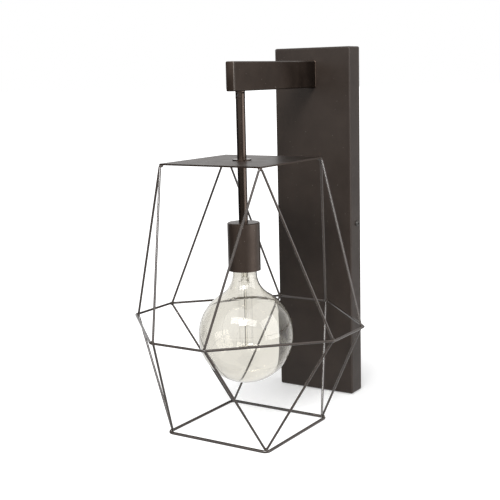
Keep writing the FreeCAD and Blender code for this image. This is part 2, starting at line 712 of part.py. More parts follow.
# --- Kites: four closed wire loops. Each hangs from a corner of the plate,
# bends inside two corners of the ring and stands in a corner of the base.
gap = note("weldGap")
inset = note("plateSide") / 2 - note("kiteInset")
topPoint = vec(inset, inset, note("plateBottomZ") - note("kiteWire") / 2 - gap)
ringTouch = (note("ringWire") + note("kiteWire")) / 2 + gap
ringSeat = note("ringBend") * (1 / math.sin(math.radians(67.5)) - 1) + ringTouch
ringInward = vec(-math.cos(math.radians(22.5)), -math.sin(math.radians(22.5)), 0)
sidePoint = vec(note("ringHalf"), note("ringShortHalf"), note("ringZ")) + ringInward * ringSeat
baseTouch = (note("baseWire") + note("kiteWire")) / 2 + gap
baseSeat = note("baseBend") * (math.sqrt(2) - 1) + baseTouch / math.sqrt(2)
baseStep = baseSeat / math.sqrt(2)
lowInset = note("baseHalf") - baseStep
lowPoint = vec(lowInset, lowInset, note("baseZ") + baseTouch / math.sqrt(2))
swapped = vec(sidePoint.y, sidePoint.x, sidePoint.z)


# The corner whose arc of the given radius has its middle at the given point
def cornerFor(middle, before, after, radius):
    back = (before - middle).normalize()
    ahead = (after - middle).normalize()
    half = back.getAngle(ahead) / 2
    return middle - (back + ahead).normalize() * (radius / math.sin(half) - radius)


topCorner = cornerFor(topPoint, sidePoint, swapped, note("apexBend"))
lowCorner = cornerFor(lowPoint, sidePoint, swapped, note("apexBend"))
sideCorner = cornerFor(sidePoint, topCorner, lowCorner, note("waistBend"))
swapCorner = vec(sideCorner.y, sideCorner.x, sideCorner.z)
upperMiddle = (topCorner + sideCorner) * 0.5
lowerMiddle = (lowCorner + swapCorner) * 0.5
bends = (note("waistBend"), note("apexBend"))
halfOne = sweep(path([upperMiddle, sideCorner, lowCorner, lowerMiddle], bends), note("kiteWire"))
halfTwo = sweep(path([upperMiddle, topCorner, swapCorner, lowerMiddle], bends[::-1]), note("kiteWire"))
kite = halfOne.fuse(halfTwo).removeSplitter()
kite = kite.Solids[0]
corners = (("back_right", 0), ("back_left", 90), ("front_left", 180), ("front_right", 270))
for place, turn in corners:
    piece = wirePiece("kite", kite)
    piece.Placement = FreeCAD.Placement(vec(0, note("axisY"), 0), FreeCAD.Rotation(vec(0, 0, 1), turn))
    piece.setExpression("Placement.Base.y", "Levels.axisY")
    keep(piece, "cage_kite_" + place)

# --- Cup and lamp-holder
cup = turned("cup", [("Levels.nippleHole / 2", "Sizes.cupLength - Sizes.cupWall"),
                     ("Sizes.cupDia / 2 - Sizes.cupWall", "Sizes.cupLength - Sizes.cupWall"),
                     ("Sizes.cupDia / 2 - Sizes.cupWall", "0"),
                     ("Sizes.cupDia / 2", "0"),
                     ("Sizes.cupDia / 2", "Sizes.cupLength - Sizes.cupRound"),
                     ("Sizes.cupDia / 2 - Sizes.cupRound", "Sizes.cupLength"),
                     ("Levels.nippleHole / 2", "Sizes.cupLength")])
keep(seat(cup, "0", "Levels.axisY", "Levels.cupBottomZ"), "holder_cup")
holderNipple = tube("holderNipple", "Sizes.nippleDia", "Sizes.nippleBore",
                    "Sizes.nippleGrip + Sizes.cupWall + Sizes.nutThick + Sizes.holderTop")
keep(seat(holderNipple, "0", "Levels.axisY", "Levels.holderTopZ - Sizes.holderTop"), "holder_nipple")
nutBlank = doc.addObject("Part::Prism", "nutBlank")
nutBlank.Polygon = 6
bind(nutBlank, Circumradius="Sizes.nutAcross / sqrt(3)", Height="Sizes.nutThick")
seat(nutBlank, "0", "Levels.axisY", "Levels.holderTopZ")
nutHole = rod("nutHole", "Levels.boreDia / 2", "3 * Sizes.nutThick", "0", "Levels.axisY",
              "Levels.holderTopZ - Sizes.nutThick")
keep(cut("nut", nutBlank, [nutHole]), "holder_nut")
holderCap = turned("holderCap", [("Levels.boreDia / 2", "Sizes.holderCapLength - Sizes.holderTop"),
                                 ("Levels.holderInner", "Sizes.holderCapLength - Sizes.holderTop"),
                                 ("Levels.holderInner", "0"),
                                 ("Sizes.holderDia / 2", "0"),
                                 ("Sizes.holderDia / 2", "Sizes.holderCapLength - Sizes.holderTop / 2"),
                                 ("Sizes.holderDia / 2 - Sizes.holderTop / 2", "Sizes.holderCapLength"),
                                 ("Levels.boreDia / 2", "Sizes.holderCapLength")])
keep(seat(holderCap, "0", "Levels.axisY", "Levels.holderSplitZ"), "holder_cap")
skirt = turned("skirt", [("Levels.shellOuter + Sizes.shellGap", "0"),
                         ("Sizes.holderDia / 2 - Sizes.skirtRim", "0"),
                         ("Sizes.holderDia / 2", "Sizes.skirtRim"),
                         ("Sizes.holderDia / 2", "Sizes.skirtLength"),
                         ("Levels.holderInner", "Sizes.skirtLength"),
                         ("Levels.holderInner", "Sizes.skirtLength - Sizes.skirtPocket"),
                         ("Levels.shellOuter + Sizes.shellGap", "Sizes.skirtLength - Sizes.skirtPocket")])
keep(seat(skirt, "0", "Levels.axisY", "Levels.holderBottomZ"), "holder_skirt")

# The insert carries the terminals above and the screw shell below
insert = rod("insertBlank", "Levels.holderInner - Sizes.insertGap", "Sizes.insertThick", "0",
             "Levels.axisY", "Levels.insertBottomZ")
terminalHoles = [rod("terminalHole", "Sizes.terminalDia / 2 + Sizes.threadFit", "2 * Sizes.terminalDepth",
                     side + "Sizes.terminalSpread", "Levels.axisY", "Levels.insertTopZ - Sizes.terminalDepth")
                 for side in ("-", "")]
keep(cut("insert", insert, terminalHoles), "holder_insert")
screws = []
for side in ("-", ""):
    shank = rod("terminalShank", "Sizes.terminalDia / 2", "Sizes.terminalDepth",
                side + "Sizes.terminalSpread", "Levels.axisY", "Levels.insertTopZ - Sizes.terminalDepth")
    head = rod("terminalHead", "Sizes.terminalHeadDia / 2", "Sizes.terminalHeadHigh",
               side + "Sizes.terminalSpread", "Levels.axisY", "Levels.insertTopZ")
    screws.append(join("terminalScrew", [shank, head]))
keep(group("terminalScrews", screws), "holder_terminals", 2)
shell = turned("shell", [("Levels.shellInner", "0"), ("Levels.shellOuter", "0"),
                         ("Levels.shellOuter", "Sizes.shellLength"),
                         ("Levels.shellInner - Sizes.shellTurnIn", "Sizes.shellLength"),
                         ("Levels.shellInner - Sizes.shellTurnIn", "Sizes.shellLength - Sizes.shellWall"),
                         ("Levels.shellInner", "Sizes.shellLength - Sizes.shellWall")])
keep(seat(shell, "0", "Levels.axisY", "Levels.insertBottomZ - Sizes.shellLength"), "holder_shell")
contact = newBody("contact")
contactSketch = newSketch(contact, "XZ_Plane", "Strip")
reach = "Sizes.contactReach"
outline(contactSketch, [("-Sizes.contactWidth", "0"), ("0", "0"),
                        ("Sizes.contactWidth / 2", "Sizes.shellFit - " + reach + " + Sizes.contactThick"),
                        ("Sizes.contactTip", "Sizes.shellFit - " + reach + " + Sizes.contactThick"),
                        ("Sizes.contactTip", "Sizes.shellFit - " + reach),
                        ("Sizes.contactKnee", "Sizes.shellFit - " + reach),
                        ("-Sizes.contactThick", "-Sizes.contactThick"),
                        ("-Sizes.contactWidth", "-Sizes.contactThick")])
pad(contact, contactSketch, "Sizes.contactWidth", symmetric=True)
keep(seat(contact, "0", "Levels.axisY", "Levels.insertBottomZ"), "contact_tongue")

# --- Bulb, about the middle of its globe
neck = note("neckDia") / 2
neckZ = note("neckRise")
capInner = note("capDia") / 2 - note("capWall")


# Half section of the glass, a wall's thickness in from its outside
def glassSection(inward):
    globe = note("globeR") - inward
    bend = note("shoulderBend") + inward
    side = neck - inward
    lean = math.atan2(side + bend, neckZ)
    end = capInner - note("glassInset") - inward
    touch = vec(globe * math.sin(lean), 0, globe * math.cos(lean))
    middle = (lean - math.pi / 2) / 2 - math.pi / 2
    turn = vec(side + bend + bend * math.sin(middle), 0, neckZ + bend * math.cos(middle))
    angle = (lean + math.pi) / 2
    waist = vec(globe * math.sin(angle), 0, globe * math.cos(angle))
    top = vec(end, 0, note("capRimRise") + note("capLength") / 2)
    rim = vec(end, 0, note("capRimRise"))
    root = vec(side, 0, neckZ + note("neckLength") / 2)
    return [Part.Arc(vec(0, 0, -globe), waist, touch).toShape(),
            Part.Arc(touch, turn, vec(side, 0, neckZ)).toShape(),
            Part.makeLine(vec(side, 0, neckZ), root), Part.makeLine(root, rim), Part.makeLine(rim, top)]


outside = glassSection(0)
inside = glassSection(note("glassWall"))
section = Part.Wire(Part.sortEdges(outside + inside + [
    Part.makeLine(outside[-1].Vertexes[-1].Point, inside[-1].Vertexes[-1].Point),
    Part.makeLine(outside[0].Vertexes[0].Point, inside[0].Vertexes[0].Point)])[0])
glass = Part.Face(section).revolve(vec(), vec(0, 0, 1), 360)
keep(seat(wirePiece("glass", glass.Solids[0]), "0", "Levels.axisY", "Levels.globeZ"), "bulb_glass")

capTop = "Sizes.capLength + Sizes.capTurnRise"
bulbCap = turned("bulbCap", [("Sizes.capDia / 2 - Sizes.capWall", "0"), ("Sizes.capDia / 2", "0"),
                             ("Sizes.capDia / 2", "Sizes.capLength"),
                             ("Sizes.capDia / 2 - Sizes.capTurnIn", capTop),
                             ("Sizes.capDia / 2 - Sizes.capTurnIn - Sizes.capWall", capTop),
                             ("Sizes.capDia / 2 - Sizes.capWall", "Sizes.capLength")])
keep(seat(bulbCap, "0", "Levels.axisY", "Levels.globeZ + Levels.capRimRise"), "bulb_cap")
insulatorR = "Sizes.capDia / 2 - Sizes.capTurnIn - Sizes.capWall - Sizes.insulatorGap"
insulator = turned("insulator", [("Sizes.capContactDia / 2", "0"), (insulatorR, "0"),
                                 (insulatorR, "Sizes.capTurnRise"),
                                 ("Sizes.capContactDia / 2 + Sizes.insulatorStep", "Sizes.insulatorHigh"),
                                 ("Sizes.capContactDia / 2", "Sizes.insulatorHigh")])
keep(seat(insulator, "0", "Levels.axisY", "Levels.globeZ + Levels.capTopRise"), "cap_insulator")
capContact = turned("capContact", [("0", "0"), ("Sizes.capContactDia / 2", "0"),
                                   ("Sizes.capContactDia / 2", "Sizes.capContactEdge"),
                                   ("Sizes.capContactTop / 2", "Sizes.capContactHigh"),
                                   ("0", "Sizes.capContactHigh")])
keep(seat(capContact, "0", "Levels.axisY", "Levels.globeZ + Levels.capTopRise"), "cap_contact")

# Glass mount: flare in the neck, pressed end, and a rod with a button
flareTop = note("capRimRise") + note("capLength") / 2
pressLow = note("capRimRise") - note("pressDrop")
pressTop = pressLow + note("pressLength")
flareLow = flareTop - note("flareHigh")
tubeR = note("mountTubeDia") / 2
wall = note("glassWall")
flareR = capInner - note("glassInset") - wall - gap
flare = [vec(tubeR, 0, pressTop), vec(tubeR, 0, flareLow),
         vec(flareR, 0, flareTop - wall), vec(flareR, 0, flareTop),
         vec(tubeR - wall, 0, flareLow + wall), vec(tubeR - wall, 0, pressTop + wall),
         vec(0, 0, pressTop + wall), vec(0, 0, pressTop), vec(tubeR, 0, pressTop)]
flareSolid = Part.Face(Part.makePolygon(flare)).revolve(vec(), vec(0, 0, 1), 360)
press = Part.makeBox(note("pressWidth"), note("pressThick"), note("pressLength"),
                     vec(-note("pressWidth") / 2, -note("pressThick") / 2, pressLow))
rodLow = pressLow - note("mountRodLength")
mountRod = Part.makeCylinder(note("mountRodDia") / 2, pressTop - rodLow, vec(0, 0, rodLow))
button = Part.makeCylinder(note("mountButtonDia") / 2, note("mountButtonHigh"), vec(0, 0, rodLow))
mount = flareSolid.Solids[0].fuse([press, mountRod, button]).removeSplitter()
keep(seat(wirePiece("mount", mount.Solids[0]), "0", "Levels.axisY", "Levels.globeZ"), "bulb_mount")


def spoke(angle, low, inner, outer):
    ray = vec(math.cos(angle), math.sin(angle), 0)
    return Part.makeCylinder(note("hookWire") / 2, outer - inner, ray * inner + vec(0, 0, low), ray)


hooks = round(note("hookCount"))
hookR = note("hookReach")
hookEnd = hookR + 2 * note("hookWire")
wireGap = (note("hookWire") + note("filamentWire")) / 2 + note("hookGap")
highZ = pressLow + note("hookRise") - wireGap
lowZ = rodLow + note("mountButtonHigh") / 2 + wireGap
pressSide = note("pressWidth") / 2 + note("hookGap")
buttonSide = note("mountButtonDia") / 2 + note("hookGap")
upper = [spoke(angle, highZ + wireGap, pressSide, hookEnd) for angle in (0, math.pi)]
lower = [spoke(2 * math.pi * (step + 0.5) / hooks, lowZ - wireGap, buttonSide, hookEnd) for step in range(hooks)]
keep(seat(wirePiece("hooks", Part.Compound(upper + lower)), "0", "Levels.axisY", "Levels.globeZ"),
     "filament_hooks", len(upper) + len(lower))


# The filament runs up and down between the hooks
def zigzag(step):
    angle = 2 * math.pi * step / (2 * hooks)
    height = lowZ if step % 2 else highZ
    return vec(hookR * math.cos(angle), hookR * math.sin(angle), height)


turns = [zigzag(step) for step in range(2 * hooks)]
filament = sweep(path(turns, [note("hookWire")] * (len(turns) - 2)), note("filamentWire"))
keep(seat(wirePiece("filament", filament), "0", "Levels.axisY", "Levels.globeZ"), "filament")

# --- Terminal block on the bracket, with its screws
blockY = "-(Sizes.bracketThick + Sizes.blockDepth)"
poleY = "-(Sizes.bracketThick + Sizes.blockDepth / 2)"
blockBlank = block("blockBlank", "Sizes.blockWidth", "Sizes.blockDepth", "Sizes.blockHeight",
                   "-Sizes.blockWidth / 2", blockY, "Sizes.blockRise - Sizes.blockHeight / 2")
poles = []
blockScrews = []
for pole in ("-Sizes.poleSpacing", "0", "Sizes.poleSpacing"):
    poles.append(rod("poleHole", "Sizes.poleHoleDia / 2", "2 * Sizes.blockHeight", pole, poleY,
                     "Sizes.blockRise - Sizes.blockHeight"))
    for side in (" - ", " + "):
        height = "Sizes.blockRise" + side + "Sizes.blockHeight / 4"
        poles.append(rod("wellHole", "Sizes.terminalDia / 2 + Sizes.threadFit", "Sizes.blockDepth / 2", pole,
                         blockY, height, "Y"))
        blockScrews.append(rod("blockScrew", "Sizes.terminalDia / 2", "Sizes.blockDepth / 4", pole,
                               blockY + " + Sizes.screwGap", height, "Y"))
keep(cut("terminalBlock", blockBlank, poles), "terminal_block")
keep(group("blockScrews", blockScrews), "terminal_screws", len(blockScrews))
earthShank = rod("earthShank", "Sizes.terminalDia / 2", "Sizes.bracketThick", "Sizes.earthReach",
                 "-Sizes.bracketThick", "Sizes.blockRise", "Y")
earthHead = rod("earthHead", "Sizes.earthHeadDia / 2", "Sizes.earthHeadHigh", "Sizes.earthReach",
                "-(Sizes.bracketThick + Sizes.earthHeadHigh)", "Sizes.blockRise", "Y")
keep(join("earthScrew", [earthShank, earthHead]), "earth_screw")

# --- Leads
spread = note("leadSpread")
poleRow = -(note("bracketThick") + note("blockDepth") / 2)
blockTop = note("blockRise") + note("blockHeight") / 2
armLine = note("armMiddle")
riseLine = -(note("bracketThick") + note("leadBend") + note("leadDia"))
leads = []
for side, pole in ((-1, -note("poleSpacing")), (1, 0)):
    route = [vec(pole, poleRow, blockTop), vec(pole, poleRow, blockTop + note("leadStraight")),
             vec(side * spread, riseLine, blockTop + note("leadLean")), vec(side * spread, riseLine, armLine),
             vec(side * spread, note("axisY"), armLine),
             vec(side * spread, note("axisY"), note("leadStartZ"))]
    bends = [note("leadSweep"), note("leadSweep"), note("leadBend"), note("leadBend")]
    leads.append(sweep(path(route, bends), note("leadDia")))
keep(wirePiece("armLeads", Part.Compound(leads)), "arm_leads", 2)
earthX = note("earthReach")
earthY = -(note("bracketThick") + note("leadDia") / 2 + gap)
headTop = note("blockRise") + note("earthHeadDia") / 2
earthTop = blockTop + note("earthRise")
earthRoute = [vec(note("poleSpacing"), poleRow, blockTop), vec(note("poleSpacing"), poleRow, earthTop),
              vec(earthX, poleRow, earthTop), vec(earthX, earthY, headTop + note("earthFall")),
              vec(earthX, earthY, headTop + gap)]
keep(wirePiece("earthLead", sweep(path(earthRoute, [note("earthBend")] * 3), note("leadDia"))), "earth_lead")

# The stretch of each lead that bends with the clevis
bendLow = note("stemTopZ") - note("spigotLength") / 2
bendRun = note("leadStartZ") - bendLow
pivotLeads = [Part.makeCylinder(note("leadDia") / 2, bendRun, vec(side * spread, note("axisY"), bendLow))
              for side in (-1, 1)]
keep(wirePiece("pivotLeads", Part.Compound(pivotLeads)), "pivot_leads", 2)
leadFoot = note("terminalSpread") - note("terminalHeadDia") / 2 - note("leadDia") / 2 - gap
nippleEnd = note("holderTopZ") - note("holderTop")
stemLeads = []
for side in (-1, 1):
    route = [vec(side * spread, 0, bendLow), vec(side * spread, 0, nippleEnd - note("leadFootStart")),
             vec(side * leadFoot, 0, nippleEnd - note("leadFootDrop")),
             vec(side * leadFoot, 0, note("insertTopZ") + gap)]
    stemLeads.append(sweep(path(route, [note("leadFootBend")] * 2), note("leadDia")))
keep(seat(wirePiece("stemLeads", Part.Compound(stemLeads)), "0", "Levels.axisY", "0"), "stem_leads", 2)

# --- Check every object, then write one file for each sub-part
doc.recompute()
faults = []
for item in doc.Objects:
    if "Invalid" in item.State or "Error" in item.State:
        faults.append(item.Name + " is not computed")
for piece, solids in nodes:
    shape = piece.Shape
    if shape.isNull() or not shape.isValid() or len(shape.Solids) != solids:
        faults.append("%s is not sound (%d solids)" % (piece.Label, len(shape.Solids)))
if faults:
    raise ValueError("; ".join(faults))
os.makedirs("parts", exist_ok=True)
for piece, solids in nodes:
    piece.Shape.exportStep(os.path.join("parts", piece.Label + ".step"))
    box = piece.Shape.BoundBox
    print("%-20s %d %9.1f mm3  x %.1f..%.1f y %.1f..%.1f z %.1f..%.1f" % (
        piece.Label, solids, piece.Shape.Volume, box.XMin, box.XMax, box.YMin, box.YMax, box.ZMin, box.ZMax))
print("sub-parts written:", len(nodes))
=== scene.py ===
from math import atan2, cos, pi, radians, sin
import bmesh
import bpy
from mathutils import Matrix, Vector
from mathutils.noise import noise as lumps


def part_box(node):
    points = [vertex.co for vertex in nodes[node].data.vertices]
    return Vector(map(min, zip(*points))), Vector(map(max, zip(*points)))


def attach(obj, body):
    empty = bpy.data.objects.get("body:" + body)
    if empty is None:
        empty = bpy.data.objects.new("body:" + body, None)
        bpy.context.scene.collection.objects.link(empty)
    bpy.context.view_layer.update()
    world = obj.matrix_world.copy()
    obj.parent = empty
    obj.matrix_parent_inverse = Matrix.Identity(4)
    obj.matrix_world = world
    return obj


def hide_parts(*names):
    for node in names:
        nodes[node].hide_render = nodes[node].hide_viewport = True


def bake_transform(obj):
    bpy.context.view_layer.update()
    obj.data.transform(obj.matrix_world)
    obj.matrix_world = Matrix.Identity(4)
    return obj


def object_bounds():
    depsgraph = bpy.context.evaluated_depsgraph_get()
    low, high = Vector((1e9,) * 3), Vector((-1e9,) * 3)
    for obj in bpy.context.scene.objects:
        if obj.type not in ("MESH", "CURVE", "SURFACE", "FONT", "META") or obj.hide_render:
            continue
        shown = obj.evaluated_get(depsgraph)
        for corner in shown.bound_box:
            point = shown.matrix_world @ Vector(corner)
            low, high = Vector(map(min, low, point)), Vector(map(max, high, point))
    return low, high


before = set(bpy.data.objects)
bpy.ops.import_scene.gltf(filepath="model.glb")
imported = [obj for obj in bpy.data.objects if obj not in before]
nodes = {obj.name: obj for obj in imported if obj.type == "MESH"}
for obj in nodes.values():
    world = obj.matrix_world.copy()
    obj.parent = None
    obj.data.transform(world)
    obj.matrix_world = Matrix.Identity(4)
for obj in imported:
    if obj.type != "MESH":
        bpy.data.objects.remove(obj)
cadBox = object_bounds()
mm = 0.001
hair = 0.01 * mm  # points closer than this are taken as one
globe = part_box("bulb_glass")
globeRadius = (globe[1].x - globe[0].x) / 2
bulbMiddle = Vector((0, (globe[0].y + globe[1].y) / 2, globe[0].z + globeRadius))
print("frame loaded,", len(nodes), "nodes")


# helpers for node trees
def newMaterial(name):
    material = bpy.data.materials.new(name)
    material.use_nodes = True
    tree = material.node_tree
    return material, tree, tree.nodes["Principled BSDF"]


def add(tree, kind, **values):
    node = tree.nodes.new(kind)
    for key in values:
        setattr(node, key, values[key])
    return node


def link(tree, out, into):
    tree.links.new(out, into)


# gives a socket a link, or a value that is the same everywhere
def feed(tree, value, socket):
    if isinstance(value, bpy.types.NodeSocket):
        link(tree, value, socket)
    else:
        socket.default_value = value


def combine(tree, operation, *values):
    node = add(tree, "ShaderNodeMath", operation=operation)
    for value, socket in zip(values, node.inputs):
        feed(tree, value, socket)
    return node.outputs[0]


def larger(tree, one, other):
    return combine(tree, "MAXIMUM", one, other)


def product(tree, one, other):
    return combine(tree, "MULTIPLY", one, other)


def combineVectors(tree, operation, *values):
    node = add(tree, "ShaderNodeVectorMath", operation=operation)
    for value, socket in zip(values, node.inputs):
        feed(tree, value, socket)
    return node.outputs


def objectPlace(tree):
    return add(tree, "ShaderNodeTexCoord").outputs["Object"]


def splitAxes(tree, vector):
    node = add(tree, "ShaderNodeSeparateXYZ")
    link(tree, vector, node.inputs[0])
    return node.outputs


def noise(tree, scale, detail=2.0, roughness=0.5):
    cloud = add(tree, "ShaderNodeTexNoise")
    cloud.inputs["Scale"].default_value = scale
    cloud.inputs["Detail"].default_value = detail
    cloud.inputs["Roughness"].default_value = roughness
    link(tree, objectPlace(tree), cloud.inputs["Vector"])
    return cloud.outputs["Fac"]


def spread(tree, value, low, high, fromLow=0.3, fromHigh=0.7):
    node = add(tree, "ShaderNodeMapRange")
    node.inputs["From Min"].default_value = fromLow
    node.inputs["From Max"].default_value = fromHigh
    node.inputs["To Min"].default_value = low
    node.inputs["To Max"].default_value = high
    link(tree, value, node.inputs["Value"])
    return node.outputs["Result"]


# the same, with both ranges taken from a dictionary
def ramp(tree, value, ranges):
    return spread(tree, value, *ranges["to"], *ranges["from"])


# a Mix node keeps its colours in inputs 6 and 7 and gives the mixed one as output 2
def mixColours(tree, share, first, second):
    node = add(tree, "ShaderNodeMix", data_type="RGBA")
    link(tree, share, node.inputs["Factor"])
    for colour, socket in ((first, node.inputs[6]), (second, node.inputs[7])):
        feed(tree, colour if isinstance(colour, bpy.types.NodeSocket) else (*colour, 1), socket)
    return node.outputs[2]


# a Mix node keeps its numbers in inputs 2 and 3 and gives the mixed one as output 0
def choose(tree, share, first, second):
    node = add(tree, "ShaderNodeMix", data_type="FLOAT")
    link(tree, share, node.inputs[0])
    feed(tree, first, node.inputs[2])
    feed(tree, second, node.inputs[3])
    return node.outputs[0]


def relief(tree, shader, heights):
    before = None
    for value, depth, strength in heights:
        bump = add(tree, "ShaderNodeBump")
        bump.inputs["Distance"].default_value = depth
        bump.inputs["Strength"].default_value = strength
        link(tree, value, bump.inputs["Height"])
        if before:
            link(tree, before, bump.inputs["Normal"])
        before = bump.outputs["Normal"]
    link(tree, before, shader.inputs["Normal"])


def shaded(colour, share):
    return [min(1, share * part) for part in colour]


def paint(material, names):
    for name in names:
        mesh = nodes[name].data
        mesh.materials.clear()
        mesh.materials.append(material)


# powder coat: dark bronze with a fine orange peel and a few pale specks
coat = {
    "dark": (0.052, 0.037, 0.029),
    "light": (0.074, 0.054, 0.043),
    "patchScale": 22.0,
    "glossScale": 60.0,
    "filmRoughness": 0.10,
    "peelScale": 900.0,
    "peelDepth": 0.03 * mm,
    "peelStrength": 0.6,
    "waveScale": 160.0,
    "waveDepth": 0.08 * mm,
    "waveStrength": 0.5,
    "fleck": (0.30, 0.27, 0.24),
    "fleckScale": 420.0,
    "fleckShare": {"from": (0.83, 0.88), "to": (0, 0.5)},
}

# pale line along the sheet's edges: partly worn coat, partly a painted highlight on the folds
wearAndHighlight = {
    "wide": 1.1 * mm,
    "full": 0.3 * mm,
    "colour": (0.17, 0.15, 0.135),
    "strength": (0.55, 1.0),
    "scale": 14.0,
}

# tone scales the coat's colours, film is a clear layer on it and peel scales its relief
boxFinish = {"tone": 0.46, "metal": 0.0, "specular": 0.28, "rough": (0.38, 0.46), "film": 0.0, "peel": 1.0}
sheetFinish = {"tone": 1.0, "metal": 1.0, "specular": 0.5, "rough": (0.36, 0.44), "film": 0.08, "peel": 1.0}
tubeFinish = {"tone": 1.0, "metal": 1.0, "specular": 0.5, "rough": (0.21, 0.27), "film": 0.25, "peel": 0.25}
wireFinish = {"tone": 0.55, "metal": 0.0, "specular": 0.5, "rough": (0.20, 0.26), "film": 0.45, "peel": 0.2}
cupFinish = {"tone": 1.0, "metal": 0.78, "specular": 0.5, "rough": (0.34, 0.42), "film": 0.2, "peel": 0.8}

# a piece named for the edge line gets wear and a painted highlight along its edges
coats = {
    "BoxCoat": {"finish": boxFinish, "wearAndHighlightEdges": "back_box", "nodes": ["back_box"]},
    "ArmCoat": {"finish": sheetFinish, "wearAndHighlightEdges": "arm_tube", "nodes": ["arm_tube"]},
    "EndCoat": {"finish": sheetFinish, "wearAndHighlightEdges": "arm_end_cap", "nodes": ["arm_end_cap"]},
    "SheetCoat": {"finish": sheetFinish, "nodes": ["arm_flange", "cage_plate"]},
    "TubeCoat": {
        "finish": tubeFinish,
        "nodes": ["swivel_fork", "stem_tongue", "upper_stem", "cage_washer", "lower_stem"],
    },
    "CageCoat": {
        "finish": wireFinish,
        "nodes": ["cage_kite_front_left", "cage_kite_front_right", "cage_kite_back_left",
                  "cage_kite_back_right", "cage_ring", "cage_base"],
    },
    "CupCoat": {"finish": cupFinish, "nodes": ["holder_cup"]},
}


# pale edge line, part wear and part painted highlight, broken by noise; corners are its two extreme points
def edgeWearAndHighlight(tree, corners):
    axes = splitAxes(tree, objectPlace(tree))
    sides = []
    for axis, (low, high) in enumerate(zip(*corners)):
        depth = combine(tree, "ABSOLUTE", combine(tree, "SUBTRACT", axes[axis], (low + high) / 2))
        half = (high - low) / 2
        sides.append(spread(tree, depth, 0.0, 1.0, half - wearAndHighlight["wide"], half - wearAndHighlight["full"]))
    x, y, z = sides
    edge = larger(tree, product(tree, x, y), larger(tree, product(tree, y, z), product(tree, x, z)))
    return product(tree, edge, spread(tree, noise(tree, wearAndHighlight["scale"], detail=3.0), *wearAndHighlight["strength"]))


def powderCoat(name, finish, wearAndHighlightEdges=None):
    material, tree, shader = newMaterial(name)
    patches = spread(tree, noise(tree, coat["patchScale"], detail=4.0, roughness=0.6), 0, 1)
    dark, light = (shaded(coat[key], finish["tone"]) for key in ("dark", "light"))
    colour = mixColours(tree, patches, dark, light)
    flecks = ramp(tree, noise(tree, coat["fleckScale"], detail=0.0), coat["fleckShare"])
    colour = mixColours(tree, flecks, colour, coat["fleck"])
    if wearAndHighlightEdges:
        # painted highlight and wear: a pale line mixed in along the piece's edges
        colour = mixColours(tree, edgeWearAndHighlight(tree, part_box(wearAndHighlightEdges)), colour, wearAndHighlight["colour"])
    link(tree, colour, shader.inputs["Base Color"])
    gloss = spread(tree, noise(tree, coat["glossScale"], detail=3.0), *finish["rough"])
    link(tree, gloss, shader.inputs["Roughness"])
    shader.inputs["Metallic"].default_value = finish["metal"]
    shader.inputs["Specular IOR Level"].default_value = finish["specular"]
    shader.inputs["Coat Weight"].default_value = finish["film"]
    shader.inputs["Coat Roughness"].default_value = coat["filmRoughness"]
    relief(tree, shader, [
        (noise(tree, coat["waveScale"]), coat["waveDepth"], coat["waveStrength"] * finish["peel"]),
        (noise(tree, coat["peelScale"]), coat["peelDepth"], coat["peelStrength"] * finish["peel"]),
    ])
    return material


materials = {}
for name, values in coats.items():
    materials[name] = powderCoat(name, values["finish"], values.get("wearAndHighlightEdges"))
    paint(materials[name], values["nodes"])
print("powder coat done")


# plain metals: fine grain in colour, gloss and surface
metalLook = {
    "grain": 350.0,
    "dark": 0.85,
    "pale": 1.12,
    "smoothest": 0.8,
    "roughest": 1.25,
    "depth": 0.03 * mm,
    "strength": 0.4,
}

metals = {
    "ZincPlate": {
        "colour": (0.60, 0.61, 0.62),
        "rough": 0.34,
        "nodes": ["wall_bracket", "stud_block", "plate_nipple", "holder_nipple", "holder_nut",
                  "terminal_screws"],
    },
    "BlackScrew": {"colour": (0.10, 0.095, 0.09), "rough": 0.32, "nodes": ["side_screws", "pivot_pins"]},
    "Brass": {
        "colour": (0.72, 0.50, 0.20),
        "rough": 0.28,
        "nodes": ["earth_screw", "holder_terminals", "holder_shell", "contact_tongue"],
    },
    "CapMetal": {"colour": (0.72, 0.71, 0.68), "rough": 0.25, "nodes": ["bulb_cap", "cap_contact"]},
    "FilamentWire": {"colour": (0.16, 0.13, 0.08), "rough": 0.35, "nodes": ["filament_hooks", "filament"]},
}


def plainMetal(name, colour, rough):
    material, tree, shader = newMaterial(name)
    shader.inputs["Metallic"].default_value = 1.0
    grain = noise(tree, metalLook["grain"], detail=3.0, roughness=0.6)
    tone = mixColours(tree, grain, shaded(colour, metalLook["dark"]), shaded(colour, metalLook["pale"]))
    link(tree, tone, shader.inputs["Base Color"])
    gloss = spread(tree, grain, rough * metalLook["smoothest"], rough * metalLook["roughest"])
    link(tree, gloss, shader.inputs["Roughness"])
    relief(tree, shader, [(grain, metalLook["depth"], metalLook["strength"])])
    return material


# plastics, rubber, ceramic and black glass: wide patches in colour, a fine grain in gloss and surface
plainLook = {
    "grain": 400.0,
    "patches": 40.0,
    "dark": 0.88,
    "pale": 1.1,
    "smoothest": 0.85,
    "roughest": 1.15,
    "depth": 0.03 * mm,
    "strength": 0.5,
}

plains = {
    "GlazedCeramic": {
        "colour": (0.80, 0.78, 0.72),
        "rough": 0.16,
        "nodes": ["holder_cap", "holder_insert", "holder_skirt"],
    },
    "BlockPlastic": {"colour": (0.72, 0.71, 0.67), "rough": 0.42, "nodes": ["terminal_block"]},
    "BushRubber": {"colour": (0.025, 0.025, 0.025), "rough": 0.65, "nodes": ["arm_bush"]},
    "LeadSheath": {
        "colour": (0.20, 0.09, 0.045),
        "rough": 0.35,
        "nodes": ["arm_leads", "pivot_leads", "stem_leads"],
    },
    "EarthSheath": {"colour": (0.16, 0.42, 0.09), "rough": 0.35, "nodes": ["earth_lead"]},
    "BlackGlass": {"colour": (0.015, 0.015, 0.02), "rough": 0.08, "nodes": ["cap_insulator"]},
}


